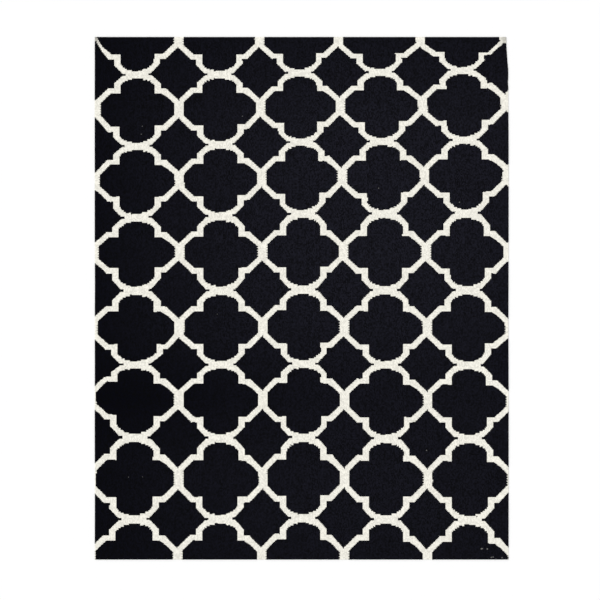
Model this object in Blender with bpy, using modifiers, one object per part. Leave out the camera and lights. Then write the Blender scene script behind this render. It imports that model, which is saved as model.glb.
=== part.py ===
"""A flat-woven wool rug, black with cream trellis lines, lying flat.

It is woven in one piece, so it is one solid: a level field, with a rounded cord of a selvedge down each long
side, where the wefts turn round the outermost warps. The selvedge on the right is drawn in at the top corner.

Metres. The origin is the middle of the underside, +Z is up, +Y runs along the warps to the top end, and +X
runs along the wefts to the right.
"""

import math

import bmesh
import bpy

RUG_WIDTH = 2.440
RUG_LENGTH = 3.080
CLOTH_THICKNESS = 0.005
EDGE_ROUNDING = 0.0018
ROUNDING_STEPS = 3
SHARP_ANGLE = 0.7

# The upper face across each selvedge: (distance in from the rug's edge, height). A shallow furrow parts the
# selvedge's cord from the level field.
SELVEDGE_SECTION = (
    (0.0150, 0.0050),
    (0.0125, 0.0041),
    (0.0095, 0.0047),
    (0.0065, 0.0050),
    (0.0035, 0.0048),
)
HEIGHT_AT_EDGE = 0.0043

# The sections of the right selvedge, down from the top end: (distance from that end, how far it is drawn in).
# Below the last one it runs straight.
DRAWN_IN_SECTIONS = (
    (0.000, 0.0110),
    (0.050, 0.0108),
    (0.095, 0.0090),
    (0.142, 0.0048),
    (0.190, 0.0014),
    (0.240, 0.0013),
    (0.285, 0.0022),
    (0.330, 0.0015),
    (0.470, 0.0000),
)
STRAIGHT_SECTIONS = 10
SAME_PLACE = 0.0002

BLACK_WOOL = (0.0065, 0.0065, 0.0095, 1.0)
WOOL_ROUGHNESS = 0.95


def clear_scene():
    for obj in list(bpy.data.objects):
        bpy.data.objects.remove(obj)


def collection_named(name):
    collection = bpy.data.collections.new(name)
    bpy.context.scene.collection.children.link(collection)
    return collection


def wool_material():
    material = bpy.data.materials.new("black_wool")
    material.use_nodes = True
    shader = material.node_tree.nodes["Principled BSDF"]
    shader.inputs["Base Color"].default_value = BLACK_WOOL
    shader.inputs["Roughness"].default_value = WOOL_ROUGHNESS
    shader.inputs["Metallic"].default_value = 0.0
    return material


def drawn_in(y):
    """How far the right selvedge is drawn in at this place along the rug."""
    from_top = RUG_LENGTH / 2 - y
    for (start, pull), (end, next_pull) in zip(DRAWN_IN_SECTIONS, DRAWN_IN_SECTIONS[1:]):
        if from_top <= end:
            share = (from_top - start) / (end - start)
            return pull + (next_pull - pull) * share
    return 0.0


def section_places():
    """The places along the rug, between its ends, where its outline may turn."""
    turning = [RUG_LENGTH / 2 - from_top for from_top, _ in DRAWN_IN_SECTIONS[1:]]
    straight_length = RUG_LENGTH - DRAWN_IN_SECTIONS[-1][0]
    step = straight_length / STRAIGHT_SECTIONS
    straight = [-RUG_LENGTH / 2 + step * number for number in range(1, STRAIGHT_SECTIONS)]
    return turning + straight


def cut_across(cloth, place, direction):
    """Adds a line of points where a plane crosses the cloth."""
    everything = cloth.verts[:] + cloth.edges[:] + cloth.faces[:]
    bmesh.ops.bisect_plane(cloth, geom=everything, plane_co=place, plane_no=direction)


def shape_selvedge(cloth, side):
    """Cuts the lines of one selvedge, on the left at side -1 or the right at side 1, and sets their heights."""
    edge = RUG_WIDTH / 2
    for inset, _ in SELVEDGE_SECTION:
        cut_across(cloth, (side * (edge - inset), 0.0, 0.0), (1.0, 0.0, 0.0))
    heights = dict(SELVEDGE_SECTION) | {0.0: HEIGHT_AT_EDGE}
    for inset, height in heights.items():
        for point in cloth.verts:
            on_line = abs(point.co.x - side * (edge - inset)) < SAME_PLACE
            if on_line and point.co.z > CLOTH_THICKNESS / 2:
                point.co.z = height


def woven_cloth():
    """The rug as a closed slab, cut into its sections and shaped at its selvedges."""
    cloth = bmesh.new()
    bmesh.ops.create_cube(cloth, size=1.0)
    bmesh.ops.scale(cloth, vec=(RUG_WIDTH, RUG_LENGTH, CLOTH_THICKNESS), verts=cloth.verts)
    bmesh.ops.translate(cloth, vec=(0.0, 0.0, CLOTH_THICKNESS / 2), verts=cloth.verts)

    for y in section_places():
        cut_across(cloth, (0.0, y, 0.0), (0.0, 1.0, 0.0))
    for side in (-1, 1):
        shape_selvedge(cloth, side)

    field_edge = RUG_WIDTH / 2 - SELVEDGE_SECTION[0][0]
    for point in cloth.verts:
        if point.co.x > field_edge - SAME_PLACE:
            point.co.x -= drawn_in(point.co.y)
    return cloth


def make_rug(collection):
    cloth = woven_cloth()
    mesh = bpy.data.meshes.new("rug")
    cloth.to_mesh(mesh)
    cloth.free()
    mesh.materials.append(wool_material())

    rug = bpy.data.objects.new("rug", mesh)
    collection.objects.link(rug)
    rounding = rug.modifiers.new("rounded edge", "BEVEL")
    rounding.width = EDGE_ROUNDING
    rounding.segments = ROUNDING_STEPS
    rounding.limit_method = "ANGLE"
    rounding.angle_limit = SHARP_ANGLE
    mesh.shade_smooth()
    mesh.set_sharp_from_angle(angle=SHARP_ANGLE)
    return rug


clear_scene()
make_rug(collection_named("kilim_rug"))
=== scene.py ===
import math

import bpy
import numpy as np
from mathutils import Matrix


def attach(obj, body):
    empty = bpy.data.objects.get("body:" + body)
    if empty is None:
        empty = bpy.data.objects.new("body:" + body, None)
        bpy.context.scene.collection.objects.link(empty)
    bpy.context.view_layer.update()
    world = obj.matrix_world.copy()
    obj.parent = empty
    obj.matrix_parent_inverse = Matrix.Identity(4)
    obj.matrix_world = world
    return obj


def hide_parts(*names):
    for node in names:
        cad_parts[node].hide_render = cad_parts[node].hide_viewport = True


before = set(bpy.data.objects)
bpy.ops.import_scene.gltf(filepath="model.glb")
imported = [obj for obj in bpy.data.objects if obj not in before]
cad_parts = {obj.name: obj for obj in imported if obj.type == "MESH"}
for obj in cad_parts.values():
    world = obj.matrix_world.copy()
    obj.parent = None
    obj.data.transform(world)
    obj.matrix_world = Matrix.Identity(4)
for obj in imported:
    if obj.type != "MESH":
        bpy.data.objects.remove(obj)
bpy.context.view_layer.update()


# The rug lies on a plain white floor in an even studio light, and the camera looks straight down on it.
# A wide, soft key light comes from the left and a little from the top end, so that the right selvedge is in
# slight shade.
FLOOR_SIDE = 200.0
FLOOR_DROP = 0.0005
FLOOR_WHITE = (0.93, 0.93, 0.93, 1.0)
ROOM_WHITE = (1.0, 1.0, 1.0, 1.0)
ROOM_STRENGTH = 0.80
KEY_STRENGTH = 1.25
KEY_SOFTNESS = math.radians(50)
KEY_TILT = (math.radians(-18), math.radians(-42), 0.0)
CAMERA_LENS = 85.0
CAMERA_SENSOR = 36.0
VIEW_WIDTH = 3.5374
VIEW_CENTRE = (-0.0098, -0.0102)

bpy.ops.object.select_all(action="DESELECT")
bpy.ops.mesh.primitive_plane_add(size=FLOOR_SIDE, location=(0.0, 0.0, -FLOOR_DROP))
floor = bpy.context.object
floor.name = "studio_floor"
floor_paint = bpy.data.materials.new("floor_paint")
floor_paint.use_nodes = True
floor_shader = floor_paint.node_tree.nodes["Principled BSDF"]
floor_shader.inputs["Base Color"].default_value = FLOOR_WHITE
floor_shader.inputs["Roughness"].default_value = 1.0
floor_shader.inputs["Specular IOR Level"].default_value = 0.0
floor.data.materials.append(floor_paint)

room = bpy.data.worlds.new("room")
room.use_nodes = True
room.node_tree.nodes["Background"].inputs["Color"].default_value = ROOM_WHITE
room.node_tree.nodes["Background"].inputs["Strength"].default_value = ROOM_STRENGTH
bpy.context.scene.world = room

key_lamp = bpy.data.lights.new("key_light", "SUN")
key_lamp.energy = KEY_STRENGTH
key_lamp.angle = KEY_SOFTNESS
key_light = bpy.data.objects.new("key_light", key_lamp)
key_light.rotation_euler = KEY_TILT
bpy.context.scene.collection.objects.link(key_light)

lens = bpy.data.cameras.new("camera")
lens.lens = CAMERA_LENS
lens.sensor_width = CAMERA_SENSOR
camera = bpy.data.objects.new("camera", lens)
camera.location = (*VIEW_CENTRE, VIEW_WIDTH * CAMERA_LENS / CAMERA_SENSOR)
bpy.context.scene.collection.objects.link(camera)
bpy.context.scene.camera = camera
bpy.context.scene.view_settings.view_transform = "Standard"


# The rug is one piece of flat-woven wool: thick wefts, beaten down until they hide the warps, which show as
# ribs from end to end. At each long side the wefts turn round a cord of doubled warps, the selvedge, and the
# wefts of the two colours are dovetailed round a shared warp wherever cream meets black.
RUG_WIDTH = 2.440
RUG_LENGTH = 3.080
CLOTH_THICKNESS = 0.0050
RIBS = 400
POINTS_A_RIB = 4
RIB_PITCH = RUG_WIDTH / RIBS
RIB_DEPTH = 0.0007
RIB_SHAPE = (0.0, 0.82, 1.0, 0.82)
RIB_HEIGHT_SPREAD = 0.00008
RIB_HEIGHT_SMOOTHING = 1
RIB_WANDER = 0.00030
RIB_WANDER_SMOOTHING = 2
SELVEDGE_RIBS = 2
SELVEDGE_FURROW_REACH = 1.2
SELVEDGE_MARGIN = 0.0001
SIDE_UNEVENNESS = 0.0008
SIDE_SMOOTHING = 1
DRAW_IN_REACH = 0.20
CLOSING_DISTANCE = 0.00001
WEAVING_SEED = 11

# The lines across the cloth that its mesh is cut into: distance from the top end.
TOP_END_LINES = (0.0, 0.0008, 0.0026, 0.050, 0.095, 0.142, 0.190, 0.240, 0.268, 0.300, 0.380, 0.470)
BOTTOM_END_LINES = (0.0026, 0.0008, 0.0)
PLAIN_SPANS = 16
END_ROUNDING = {0.0: 0.0, 0.0008: 0.74, 0.0026: 1.0}

# How far the right selvedge is drawn in: (distance from the top end, how far). It is tight at the corner and
# dents again a little further down.
DRAWN_IN = (
    (0.000, 0.0140),
    (0.050, 0.0130),
    (0.095, 0.0100),
    (0.142, 0.0065),
    (0.190, 0.0025),
    (0.240, 0.0010),
    (0.268, 0.0032),
    (0.300, 0.0010),
    (0.470, 0.0000),
)


def line_places():
    """The distance from the top end of each line across the cloth."""
    last_fine = TOP_END_LINES[-1]
    plain_length = RUG_LENGTH - BOTTOM_END_LINES[0] - last_fine
    plain = [last_fine + plain_length * number / PLAIN_SPANS for number in range(1, PLAIN_SPANS)]
    bottom = [RUG_LENGTH - inset for inset in BOTTOM_END_LINES]
    return np.array(list(TOP_END_LINES) + plain + bottom)


def smooth_noise(random, shape, passes):
    """Seeded noise of about unit size, smoothed along its second axis."""
    noise = random.normal(size=shape)
    for _ in range(passes):
        padded = np.pad(noise, ((0, 0), (1, 1)), mode="edge")
        noise = (padded[:, :-2] + 2 * padded[:, 1:-1] + padded[:, 2:]) / 4
    return noise / noise.std()


def woven_section(from_top):
    """Where the cloth's points lie: across, along and half thickness, for every point of every line."""
    random = np.random.default_rng(WEAVING_SEED)
    points = np.arange(RIBS * POINTS_A_RIB + 1)
    rib = np.minimum(points // POINTS_A_RIB, RIBS - 1)
    lines = len(from_top)

    across = np.repeat((points * RIB_PITCH / POINTS_A_RIB)[:, None], lines, axis=1)
    across += smooth_noise(random, (RIBS, lines), RIB_WANDER_SMOOTHING)[rib] * RIB_WANDER
    fullness = np.array(RIB_SHAPE)[points % POINTS_A_RIB][:, None]
    height = CLOTH_THICKNESS / 2 - RIB_DEPTH * (1 - fullness)
    flattened = np.abs(smooth_noise(random, (RIBS, lines), RIB_HEIGHT_SMOOTHING)[rib])
    height = height - flattened * RIB_HEIGHT_SPREAD

    # the selvedges' cords
    across[0], across[-1] = 0.0, RUG_WIDTH
    cord = SELVEDGE_RIBS * RIB_PITCH / 2
    for inset in (across, RUG_WIDTH - across):
        beside_crown = (inset - cord) / cord
        beside_crown = np.where(beside_crown > 0, beside_crown / SELVEDGE_FURROW_REACH, beside_crown)
        roll = CLOTH_THICKNESS / 2 * np.sqrt(np.clip(1 - beside_crown**2, 0, 1))
        in_cord = inset <= 2 * cord + SELVEDGE_MARGIN
        height = np.where(in_cord, roll, height)

    # the ends, rounded over the last wefts
    from_end = np.minimum(from_top, RUG_LENGTH - from_top)
    rounding = np.interp(from_end, list(END_ROUNDING), list(END_ROUNDING.values()))
    height = height * rounding

    # the outline: the corner that is drawn in, and a slight unevenness of the sides
    pull = np.interp(from_top, [place for place, _ in DRAWN_IN], [far for _, far in DRAWN_IN])
    near_right = np.clip(1 - (RUG_WIDTH - across) / DRAW_IN_REACH, 0, 1)
    across = across - pull * near_right
    uneven = np.abs(smooth_noise(random, (2, lines), SIDE_SMOOTHING)) * SIDE_UNEVENNESS
    across = across + uneven[0] * np.clip(1 - across / DRAW_IN_REACH, 0, 1)
    across = across - uneven[1] * near_right
    return across, from_top, height


bpy.ops.object.select_all(action="DESELECT")
from_top = line_places()
point_columns = RIBS * POINTS_A_RIB
line_rows = len(from_top) - 1
bpy.ops.mesh.primitive_grid_add(x_subdivisions=point_columns, y_subdivisions=line_rows, size=1.0)
rug = bpy.context.object
rug.name = "woven_rug"
layers = rug.modifiers.new("two faces", "SOLIDIFY")
layers.thickness = CLOTH_THICKNESS
layers.offset = 0.0
bpy.ops.object.modifier_apply(modifier=layers.name)

# each point goes to its place in the weave
cloth = rug.data
flat_points = np.empty(len(cloth.vertices) * 3, np.float32)
cloth.vertices.foreach_get("co", flat_points)
flat_points = flat_points.reshape(-1, 3)
column = np.rint((flat_points[:, 0] + 0.5) * point_columns).astype(int)
row = np.rint((0.5 - flat_points[:, 1]) * line_rows).astype(int)
face_side = np.sign(flat_points[:, 2])
across, _, height = woven_section(from_top)
woven_points = np.stack(
    [
        across[column, row] - RUG_WIDTH / 2,
        RUG_LENGTH / 2 - from_top[row],
        CLOTH_THICKNESS / 2 + face_side * height[column, row],
    ],
    axis=1,
)
cloth.vertices.foreach_set("co", woven_points.astype(np.float32).ravel())

# both faces share one map, which runs round into the edges by the length of cloth
across_steps = np.hypot(np.diff(across[:, line_rows // 2]), np.diff(height[:, line_rows // 2]))
along_steps = np.hypot(np.diff(from_top), np.diff(height[point_columns // 2]))
map_across = np.concatenate([[0.0], np.cumsum(across_steps)]) / across_steps.sum()
map_along = 1 - np.concatenate([[0.0], np.cumsum(along_steps)]) / along_steps.sum()
corners = np.empty(len(cloth.loops), np.int32)
cloth.loops.foreach_get("vertex_index", corners)
cloth_map = cloth.uv_layers.new(name="OFBake")
map_places = np.stack([map_across[column[corners]], map_along[row[corners]]], axis=1)
cloth_map.data.foreach_set("uv", map_places.astype(np.float32).ravel())

# the two faces meet along the edges, so what Solidify put between them is closed up
bpy.ops.object.mode_set(mode="EDIT")
bpy.ops.mesh.select_all(action="SELECT")
bpy.ops.mesh.remove_doubles(threshold=CLOSING_DISTANCE)
bpy.ops.object.mode_set(mode="OBJECT")
bpy.ops.object.shade_smooth()


class Wool:
    """A number that changes over the cloth. Arithmetic on it adds Math nodes to the wool's material."""

    tree = None

    def __init__(self, socket):
        self.socket = socket

    @classmethod
    def node(cls, kind, settings=None, sockets=None, output=0):
        """Adds any other node: its settings first, then the values or links of its sockets."""
        node = cls.tree.nodes.new(kind)
        for name, setting in (settings or {}).items():
            setattr(node, name, setting)
        for name, value in (sockets or {}).items():
            if isinstance(value, Wool):
                cls.tree.links.new(value.socket, node.inputs[name])
            else:
                node.inputs[name].default_value = value
        return cls(node.outputs[output])

    @classmethod
    def maths(cls, operation, *values):
        return cls.node("ShaderNodeMath", {"operation": operation}, dict(enumerate(values)))

    def output(self, name):
        """Another output of the same node."""
        return Wool(self.socket.node.outputs[name])

    def __add__(self, other):
        return Wool.maths("ADD", self, other)

    def __radd__(self, other):
        return Wool.maths("ADD", other, self)

    def __sub__(self, other):
        return Wool.maths("SUBTRACT", self, other)

    def __rsub__(self, other):
        return Wool.maths("SUBTRACT", other, self)

    def __mul__(self, other):
        return Wool.maths("MULTIPLY", self, other)

    def __rmul__(self, other):
        return Wool.maths("MULTIPLY", other, self)

    def __truediv__(self, other):
        return Wool.maths("DIVIDE", self, other)

    def __abs__(self):
        return Wool.maths("ABSOLUTE", self)

    def __lt__(self, other):
        return Wool.maths("LESS_THAN", self, other)

    def __gt__(self, other):
        return Wool.maths("GREATER_THAN", self, other)

    def floor(self):
        return Wool.maths("FLOOR", self)

    def part_of_repeat(self):
        return Wool.maths("FRACT", self)


def least(first, *others):
    for other in others:
        first = Wool.maths("MINIMUM", first, other)
    return first


def most(first, *others):
    for other in others:
        first = Wool.maths("MAXIMUM", first, other)
    return first


def rise(value, low, high):
    """0 below low, 1 above high, and straight between."""
    limits = {"From Min": low, "From Max": high}
    return Wool.node("ShaderNodeMapRange", {"clamp": True}, {"Value": value} | limits)


def spot_in_wool(across, along, depth=0.0):
    return Wool.node("ShaderNodeCombineXYZ", {}, {"X": across, "Y": along, "Z": depth})


def mottle(across, along, size_across, size_along, seed, detail=2.0):
    """Noise from -1 to 1, with blots of the given size."""
    where = spot_in_wool(across * (1 / size_across), along * (1 / size_along), seed)
    noise = Wool.node("ShaderNodeTexNoise", {}, {"Vector": where, "Scale": 1.0, "Detail": detail}, "Fac")
    return (noise - 0.5) * 2.0


def mixed_wool(share, first, second, blend="MIX"):
    settings = {"data_type": "RGBA", "blend_type": blend}
    return Wool.node("ShaderNodeMix", settings, {0: share, 6: first, 7: second}, 2)


dyed_wool = bpy.data.materials.new("dyed_wool")
dyed_wool.use_nodes = True
Wool.tree = dyed_wool.node_tree
wool_shader = dyed_wool.node_tree.nodes["Principled BSDF"]

object_place = Wool.node("ShaderNodeTexCoord", output="Object")
from_middle = Wool.node("ShaderNodeSeparateXYZ", {}, {0: object_place}, "X")
place_across = from_middle + RUG_WIDTH / 2
place_down = RUG_LENGTH / 2 - from_middle.output("Y")

# Each rib changes colour only where a few wefts end, so the trellis is charted on cells one rib wide and one
# such bundle high. Loose fibres blur the cells by less than a millimetre, and the weaver's count wanders.
BUNDLE = 0.0037
FIBRE_BLUR = 0.0006
FIBRE_SIZE = 0.0012
FIBRE_SEEDS = (3.0, 7.0)
COUNT_WANDER = 0.0022
WANDER_SIZE = 0.085
WANDER_SEEDS = (11.0, 17.0)
blur_across, blur_down = [
    mottle(place_across, place_down, FIBRE_SIZE, FIBRE_SIZE, seed) for seed in FIBRE_SEEDS
]
blurred_across = place_across + blur_across * FIBRE_BLUR
blurred_down = place_down + blur_down * FIBRE_BLUR
rib = (blurred_across / RIB_PITCH).floor()
bundle = (blurred_down / BUNDLE).floor()
cell_across = (rib + 0.5) * RIB_PITCH
cell_down = (bundle + 0.5) * BUNDLE
wander_across, wander_down = [
    mottle(cell_across, cell_down, WANDER_SIZE, WANDER_SIZE, seed) for seed in WANDER_SEEDS
]
charted_across = cell_across + wander_across * COUNT_WANDER
charted_down = cell_down + wander_down * COUNT_WANDER

# At the two top corners the weaver ran the diamonds' points up beside the selvedge, and the right end of the
# first row stands a little high.
CORNER_RISE = 0.032
CORNER_REACH_ACROSS = 0.045
CORNER_REACH_DOWN = 0.250
from_side = least(cell_across, RUG_WIDTH - cell_across)
by_corner = (1 - rise(from_side, 0.0, CORNER_REACH_ACROSS)) * (1 - rise(cell_down, 0.0, CORNER_REACH_DOWN))
charted_down = charted_down + by_corner * CORNER_RISE
RIGHT_RISE = 0.008
RIGHT_RISE_ACROSS = (2.240, 2.360)
RIGHT_RISE_DOWN = (0.300, 0.500)
by_right = rise(cell_across, *RIGHT_RISE_ACROSS) * (1 - rise(cell_down, *RIGHT_RISE_DOWN))
charted_down = charted_down + by_right * RIGHT_RISE

# Notches where the weaver's count slipped: distance from the left selvedge and from the top end, and how far
# the trellis is off there, across and down. A slip is whole up to its first reach and gone past the second.
SLIPS = (
    (0.120, 2.035, 0.000, -0.011),
    (0.120, 2.250, -0.004, -0.011),
    (0.120, 0.720, -0.001, -0.007),
    (0.120, 0.930, 0.001, -0.010),
    (0.375, 1.820, 0.014, 0.001),
    (1.800, 0.110, -0.009, 0.001),
    (2.040, 0.110, -0.001, -0.007),
    (1.838, 0.310, -0.006, 0.001),
    (1.590, 0.935, 0.006, 0.001),
    (2.320, 1.815, -0.004, -0.007),
    (-0.010, 0.482, 0.000, -0.012),
    (-0.010, 0.912, 0.000, -0.016),
    (-0.010, 2.200, 0.000, -0.016),
    (2.450, 0.500, 0.010, -0.010),
    (2.450, 0.720, 0.010, -0.004),
    (1.800, 1.110, 0.007, -0.002),
    (1.310, 1.110, 0.006, -0.002),
    (0.460, 1.765, 0.000, 0.006),
    (0.450, 2.665, 0.003, 0.005),
    (0.950, 2.665, 0.005, 0.005),
    (2.250, 0.158, -0.010, 0.001),
    (2.100, 0.970, 0.007, 0.001),
    (0.020, 2.085, -0.007, -0.003),
    (0.345, 0.185, -0.005, -0.002),
)
SLIP_REACH = (0.045, 0.120)
cell_spot = spot_in_wool(cell_across, cell_down)
for slip_across, slip_down, off_across, off_down in SLIPS:
    slip_centre = {0: cell_spot, 1: (slip_across, slip_down, 0.0)}
    away = Wool.node("ShaderNodeVectorMath", {"operation": "DISTANCE"}, slip_centre, "Value")
    slipped = 1 - rise(away, *SLIP_REACH)
    charted_across = charted_across - slipped * off_across
    charted_down = charted_down - slipped * off_down

# Three of the columns of quatrefoils are woven about a weft low or high: distance of the column's middle from
# the left selvedge, and how far it is down.
COLUMN_DROPS = ((0.745, 0.0020), (1.230, -0.0026), (1.713, 0.0014))
COLUMN_REACH = (0.150, 0.300)
for column_middle, drop in COLUMN_DROPS:
    in_column = 1 - rise(abs(cell_across - column_middle), *COLUMN_REACH)
    charted_down = charted_down - in_column * drop

# The lines where one row of quatrefoils meets the next: distance from the top end, at the left selvedge, in
# the middle and at the right selvedge. The weaver beat the rows closer together near the top, and they bow.
ROW_LINES = (
    (-0.216, -0.192, -0.186),
    (0.221, 0.210, 0.187),
    (0.649, 0.618, 0.601),
    (1.068, 1.040, 1.034),
    (1.492, 1.487, 1.489),
    (1.931, 1.925, 1.934),
    (2.356, 2.358, 2.363),
    (2.841, 2.834, 2.846),
    (3.306, 3.303, 3.345),
)

# How far the upper and the lower edges of each row's level lobes lie below their usual places: at the left
# selvedge, in the middle and at the right selvedge.
LEVEL_EDGE_SHARE = 0.24
LEVEL_EDGE_DROPS = (
    ((0.000, 0.000, 0.000), (0.000, 0.000, 0.005)),
    ((-0.005, -0.004, 0.000), (0.000, 0.001, 0.000)),
    ((-0.002, -0.003, -0.002), (0.001, 0.000, -0.003)),
    ((-0.004, 0.008, 0.013), (-0.015, -0.006, 0.000)),
    ((0.006, 0.005, 0.007), (0.000, 0.002, 0.003)),
    ((-0.006, -0.005, 0.000), (-0.003, -0.001, -0.003)),
    ((0.001, 0.003, 0.007), (0.004, 0.002, 0.001)),
    ((0.000, 0.000, 0.000), (0.000, 0.000, 0.000)),
)

# The lines where one column of quatrefoils meets the next: distance from the left selvedge, at the top end,
# half way down and at the bottom end. The columns are closer together at the top, and the outermost ones run
# past the selvedges.
COLUMN_LINES = (
    (-0.466, -0.514, -0.538),
    (0.013, -0.009, -0.026),
    (0.495, 0.499, 0.489),
    (0.970, 0.991, 0.984),
    (1.435, 1.469, 1.470),
    (1.918, 1.957, 1.960),
    (2.411, 2.441, 2.465),
    (2.890, 2.926, 2.945),
)


def bowed(share, start, middle, end):
    """A value that bows smoothly from start through middle to end as the share goes from 0 to 1."""
    bow = 2 * (start + end - 2 * middle)
    return (share * bow + (end - start - bow)) * share + start


def lines_passed(value, lines):
    """How many of the lines lie before the value, with the share of the way to the next one."""
    passed = rise(value, lines[0], lines[1])
    for line, next_line in zip(lines[1:], lines[2:]):
        passed = passed + rise(value, line, next_line)
    return passed


share_across = charted_across / RUG_WIDTH
share_down = charted_down / RUG_LENGTH
row_lines = [bowed(share_across, *line) for line in ROW_LINES]
column_lines = [bowed(share_down, *line) for line in COLUMN_LINES]
rows = 0.0
for line, next_line, (upper_drop, lower_drop) in zip(row_lines, row_lines[1:], LEVEL_EDGE_DROPS):
    inset = (next_line - line) * LEVEL_EDGE_SHARE
    upper_edge = line + inset + bowed(share_across, *upper_drop)
    lower_edge = next_line - inset + bowed(share_across, *lower_drop)
    rows = rows + rise(charted_down, line, upper_edge) * LEVEL_EDGE_SHARE
    rows = rows + rise(charted_down, upper_edge, lower_edge) * (1 - 2 * LEVEL_EDGE_SHARE)
    rows = rows + rise(charted_down, lower_edge, next_line) * LEVEL_EDGE_SHARE
columns = lines_passed(charted_across, column_lines)

# Within one repeat: how far right of and above the quatrefoil's middle, at the repeat's usual size.
REPEAT_WIDTH = 0.488
REPEAT_LENGTH = 0.424
beside_middle = (columns.part_of_repeat() - 0.5) * REPEAT_WIDTH
above_middle = (0.5 - rows.part_of_repeat()) * REPEAT_LENGTH
out = abs(beside_middle)
up = abs(above_middle)

# The upright sides are dovetailed: the last of every four bundles goes a little further.
TOOTH = 0.0018
TOOTH_REPEAT = 4
LAST_OF_REPEAT = 0.6
tooth = ((bundle / TOOTH_REPEAT).part_of_repeat() > LAST_OF_REPEAT) * (2 * TOOTH) - TOOTH

# The quatrefoil is an upright lobe with round ends, woven in shallow steps, crossed by a level one with
# slanting ends. The weaver's hand made both lobes lean a little, rounded the level one's upper right end, and
# ran it on into the cloth's top left corner.
UPRIGHT_HALF_WIDTH = 0.101
LOBE_HALF_WIDTH = 0.106
LOBE_ROUNDING = 0.066
LOBE_CENTRE = 0.122
LOBES_BELOW_MIDDLE = 0.005
LOBE_STEP = 0.0085
LOBE_LEAN = 0.034
LOBE_SHOULDER = (0.046, 0.080)
LOBE_SHOULDER_GAIN = 0.006
LEVEL_HALF_HEIGHT = 0.0935
LEVEL_BELOW_MIDDLE = 0.0013
LEVEL_TAPER = 0.010
LEVEL_REACH = 0.216
LEVEL_LEAN = 0.0040
LEVEL_SLANT = 0.915
LEVEL_SLANT_REACH = 0.2337
LEVEL_SHOULDER_SLANT = 0.64
LEVEL_SHOULDER_REACH = 0.181
CORNER_SIZE = 0.060
CORNER_EXTRA_REACH = 0.030
in_left_corner = (cell_across < CORNER_SIZE) * (cell_down < CORNER_SIZE)
along_lobe = abs(above_middle + LOBES_BELOW_MIDDLE) + beside_middle * LOBE_LEAN
right_shoulder = rise(beside_middle, *LOBE_SHOULDER) * (above_middle > 0.0) * LOBE_SHOULDER_GAIN
above_lobe_centre = most(along_lobe - right_shoulder - LOBE_CENTRE, 0.0)
above_lobe_centre = ((above_lobe_centre / LOBE_STEP).floor() + 0.5) * LOBE_STEP
lobe_spot = spot_in_wool(out * (LOBE_ROUNDING / LOBE_HALF_WIDTH), above_lobe_centre)
from_lobe_centre = Wool.node("ShaderNodeVectorMath", {"operation": "LENGTH"}, {0: lobe_spot}, "Value")
upright_lobe = least(UPRIGHT_HALF_WIDTH - out, LOBE_ROUNDING - from_lobe_centre)
level_up = abs(above_middle + LEVEL_BELOW_MIDDLE) + beside_middle * LEVEL_TAPER
slant_out = abs(beside_middle + LEVEL_LEAN)
level_slant = LEVEL_SLANT_REACH - slant_out * LEVEL_SLANT - up
level_shoulder = LEVEL_SHOULDER_REACH - beside_middle * LEVEL_SHOULDER_SLANT - above_middle
level_reach = in_left_corner * CORNER_EXTRA_REACH + LEVEL_REACH - abs(beside_middle + tooth)
level_lobe = least(LEVEL_HALF_HEIGHT - level_up, level_reach, level_slant, level_shoulder)
in_quatrefoil = most(upright_lobe, level_lobe)

# The diamond between four quatrefoils has a square corner towards each of their notches, and its last wefts
# run out into a short point at either side. It is a little full beside a quatrefoil's upper left, and is set
# back beside the lower two sides.
DIAMOND_SIDE_REACH = 0.2905
UPPER_LEFT_GAIN = 0.0024
LOWER_LEFT_LOSS = 0.0074
LOWER_RIGHT_LOSS = 0.0014
DIAMOND_END_REACH = 0.2804
DIAMOND_END_SLANT = 0.93
DIAMOND_CORNER = (0.1390, 0.1245)
DIAMOND_POINT_FROM = 0.0710
DIAMOND_POINT_HALF_HEIGHT = 0.0055
DIAMOND_POINT_DROP = 0.0025
left = beside_middle < 0
upper = above_middle > 0
upper_left = left * upper
lower_left = left * (1 - upper)
lower_right = (1 - left) * (1 - upper)
diamond_side = up + out - DIAMOND_SIDE_REACH + upper_left * UPPER_LEFT_GAIN
diamond_side = diamond_side - lower_left * LOWER_LEFT_LOSS - lower_right * LOWER_RIGHT_LOSS
diamond_end = up + slant_out * DIAMOND_END_SLANT - DIAMOND_END_REACH
diamond_corner = least(out - DIAMOND_CORNER[0], level_up - DIAMOND_CORNER[1])
below_row_line = ((rows + 0.5).part_of_repeat() - 0.5) * REPEAT_LENGTH
beside_point = abs(below_row_line - DIAMOND_POINT_DROP)
diamond_point = least(out - DIAMOND_POINT_FROM, DIAMOND_POINT_HALF_HEIGHT - beside_point)
in_diamond = most(least(diamond_side, diamond_end), diamond_corner, diamond_point)

# The cream line is a little narrower than the chart's, and two stretches of it by the top corners are thin.
LINE_TRIM = 0.0010
THIN_STRETCHES = ((2.340, 0.075), (0.035, 0.040))
THIN_REACH = (0.030, 0.090)
THIN_TRIM = 0.0080
line_trim = LINE_TRIM
for thin_across, thin_down in THIN_STRETCHES:
    thin_centre = {0: cell_spot, 1: (thin_across, thin_down, 0.0)}
    away = Wool.node("ShaderNodeVectorMath", {"operation": "DISTANCE"}, thin_centre, "Value")
    line_trim = (1 - rise(away, *THIN_REACH)) * THIN_TRIM + line_trim
cream_share = 1 - (most(in_quatrefoil, in_diamond) + line_trim > 0.0)

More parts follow.
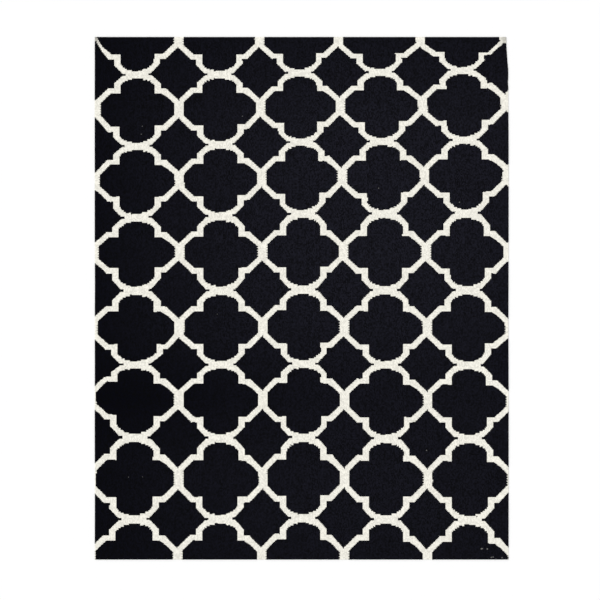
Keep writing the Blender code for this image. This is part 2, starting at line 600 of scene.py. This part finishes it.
# The black wool is mottled from bundle to bundle, with faint streaks along the warps. It is palest right of
# the middle in the upper half, darker towards the sides, above all the left, and below the middle, and
# towards both ends it is darkened with painted shade. The deepest, a bluer black from a lot of its own, lies
# at the left about two thirds of the way down. The cream is nearly even. Each mottling gives the amounts of
# grain, streaks and blots.
BLACK_WOOL = (0.0060, 0.0061, 0.0101, 1.0)
DEEPEST_BLACK_WOOL = (0.0, 0.0001, 0.0016, 1.0)
CREAM_WOOL = (0.825, 0.805, 0.725, 1.0)
BLACK_MOTTLING = (1.40, 0.45, 0.25)
CREAM_MOTTLING = (0.28, 0.05, 0.06)
GRAIN = 0.0074
GRAIN_SEED = 3.0
STREAK_SIZE = (0.009, 0.16)
STREAK_SEED = 23.0
BLOT_SIZE = (0.030, 0.022)
BLOT_SEED = 29.0
PALEST_ACROSS = 0.68
LOSS_ACROSS = 1.78
TOP_SHADE_SPAN = (0.0, 0.17)
TOP_SHADE_LOSS = 0.42
LOWER_DARK_SPAN = (0.45, 0.65)
LOWER_LOSS = 0.32
BOTTOM_SHADE_SPAN = (0.92, 1.0)
BOTTOM_SHADE_LOSS = 0.16
DEEPEST_DOWN = 0.69
DEEPEST_REACH = 0.115
DEEPEST_LOSS = 1.00
grain_cell = spot_in_wool(rib, (blurred_down / GRAIN).floor(), GRAIN_SEED)
grain = Wool.node("ShaderNodeTexWhiteNoise", {}, {"Vector": grain_cell}, "Value") - 0.5
streaks = mottle(place_across, place_down, *STREAK_SIZE, STREAK_SEED)
blots = mottle(place_across, place_down, *BLOT_SIZE, BLOT_SEED)
down_share = place_down / RUG_LENGTH
beside_palest = place_across / RUG_WIDTH - PALEST_ACROSS
tone_across = 1 - beside_palest * beside_palest * LOSS_ACROSS
# painted shade: the black is darkened towards the top end and the bottom end; below the middle it is darker
# too
losses_down = (1 - rise(down_share, *TOP_SHADE_SPAN)) * TOP_SHADE_LOSS + rise(down_share, *LOWER_DARK_SPAN) * LOWER_LOSS
losses_down = losses_down + rise(down_share, *BOTTOM_SHADE_SPAN) * BOTTOM_SHADE_LOSS
from_right = 1 - place_across / RUG_WIDTH
near_deepest = 1 - rise(abs(down_share - DEEPEST_DOWN), 0.0, DEEPEST_REACH)
deepest_lot = from_right * from_right * near_deepest * DEEPEST_LOSS
black_tone_and_shade = tone_across * (1 - losses_down) * (1 - deepest_lot)
black_depth, cream_depth = [
    grain * grain_amount + streaks * streak_amount + blots * blot_amount + 1.0
    for grain_amount, streak_amount, blot_amount in (BLACK_MOTTLING, CREAM_MOTTLING)
]

# The cream is darkened at the two top corners: painted shade of the selvedges there.
CORNER_SHADE_ACROSS = 0.075
CORNER_SHADE_DOWN = 0.070
CORNER_SHADE_LOSS = 0.62
from_nearer_side = least(place_across, RUG_WIDTH - place_across)
corner_shade = (1 - rise(from_nearer_side, 0.0, CORNER_SHADE_ACROSS)) * (1 - rise(place_down, 0.0, CORNER_SHADE_DOWN))
cream_depth = cream_depth * (1 - corner_shade * CORNER_SHADE_LOSS)

# Each yarn takes its colour from its tone, painted shade and mottling, and the chart says which yarn a cell
# has.
tone_and_shade_colour = mixed_wool(black_tone_and_shade, DEEPEST_BLACK_WOOL, BLACK_WOOL)
black_yarn = mixed_wool(1.0, tone_and_shade_colour, black_depth, "MULTIPLY")
cream_yarn = mixed_wool(1.0, CREAM_WOOL, cream_depth, "MULTIPLY")
wool_colour = mixed_wool(cream_share, black_yarn, cream_yarn)

# Flecks of undyed fibre caught in the black: (distance from the left selvedge, from the top end, radius).
FLECKS = (
    (0.281, 0.526, 0.0026),
    (0.275, 0.573, 0.0026),
    (0.871, 0.467, 0.0022),
    (1.673, 0.891, 0.0028),
    (2.150, 0.974, 0.0034),
    (0.723, 1.634, 0.0018),
    (1.956, 2.436, 0.0032),
    (2.279, 3.016, 0.0046),
    (2.285, 3.015, 0.0038),
    (2.314, 3.017, 0.0044),
    (2.337, 3.067, 0.0038),
    (2.348, 3.065, 0.0036),
    (2.401, 3.069, 0.0040),
    (0.200, 2.594, 0.0020),
    (0.282, 2.592, 0.0018),
    (2.252, 2.826, 0.0044),
)
FLECK_WOOL = (0.135, 0.133, 0.125, 1.0)
fleck_share = None
blurred_spot = spot_in_wool(blurred_across, blurred_down)
for fleck_across, fleck_down, radius in FLECKS:
    centre = (fleck_across, fleck_down, 0.0)
    away = Wool.node("ShaderNodeVectorMath", {"operation": "DISTANCE"}, {0: blurred_spot, 1: centre}, "Value")
    inside = away < radius
    fleck_share = inside if fleck_share is None else most(fleck_share, inside)
wool_colour = mixed_wool(fleck_share, wool_colour, FLECK_WOOL)

# Each weft passes over every other rib, and its neighbours over the ribs between.
WEFT_PITCH = 0.0031
WEFT_HEIGHT = 0.26
FIBRE_HEIGHT = 0.14
FIBRE_LAY = (0.0050, 0.0005)
FIBRE_LAY_SEED = 41.0
BUMP_DISTANCE = 0.001
plain_rib = (place_across / RIB_PITCH).floor()
weft_turn = (place_down / WEFT_PITCH + plain_rib * 0.5) * math.pi
weft_crown = abs(Wool.maths("SINE", weft_turn))
fibres = mottle(place_across, place_down, *FIBRE_LAY, FIBRE_LAY_SEED)
relief = weft_crown * WEFT_HEIGHT + fibres * FIBRE_HEIGHT
bump_settings = {"Strength": 1.0, "Distance": BUMP_DISTANCE, "Height": relief}
wool_relief = Wool.node("ShaderNodeBump", {}, bump_settings, "Normal")

WOOL_ROUGHNESS = 0.92
ROUGHNESS_SPREAD = 0.05
SPECULAR_LEVEL = 0.06
SHEEN = 0.05
SHEEN_ROUGHNESS = 0.45
wool_roughness = blots * ROUGHNESS_SPREAD + WOOL_ROUGHNESS
links = dyed_wool.node_tree.links
links.new(wool_colour.socket, wool_shader.inputs["Base Color"])
links.new(wool_roughness.socket, wool_shader.inputs["Roughness"])
links.new(wool_relief.socket, wool_shader.inputs["Normal"])
wool_shader.inputs["Specular IOR Level"].default_value = SPECULAR_LEVEL
wool_shader.inputs["Sheen Weight"].default_value = SHEEN
wool_shader.inputs["Sheen Roughness"].default_value = SHEEN_ROUGHNESS
cloth.materials.clear()
cloth.materials.append(dyed_wool)

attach(rug, "root")
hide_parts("rug")
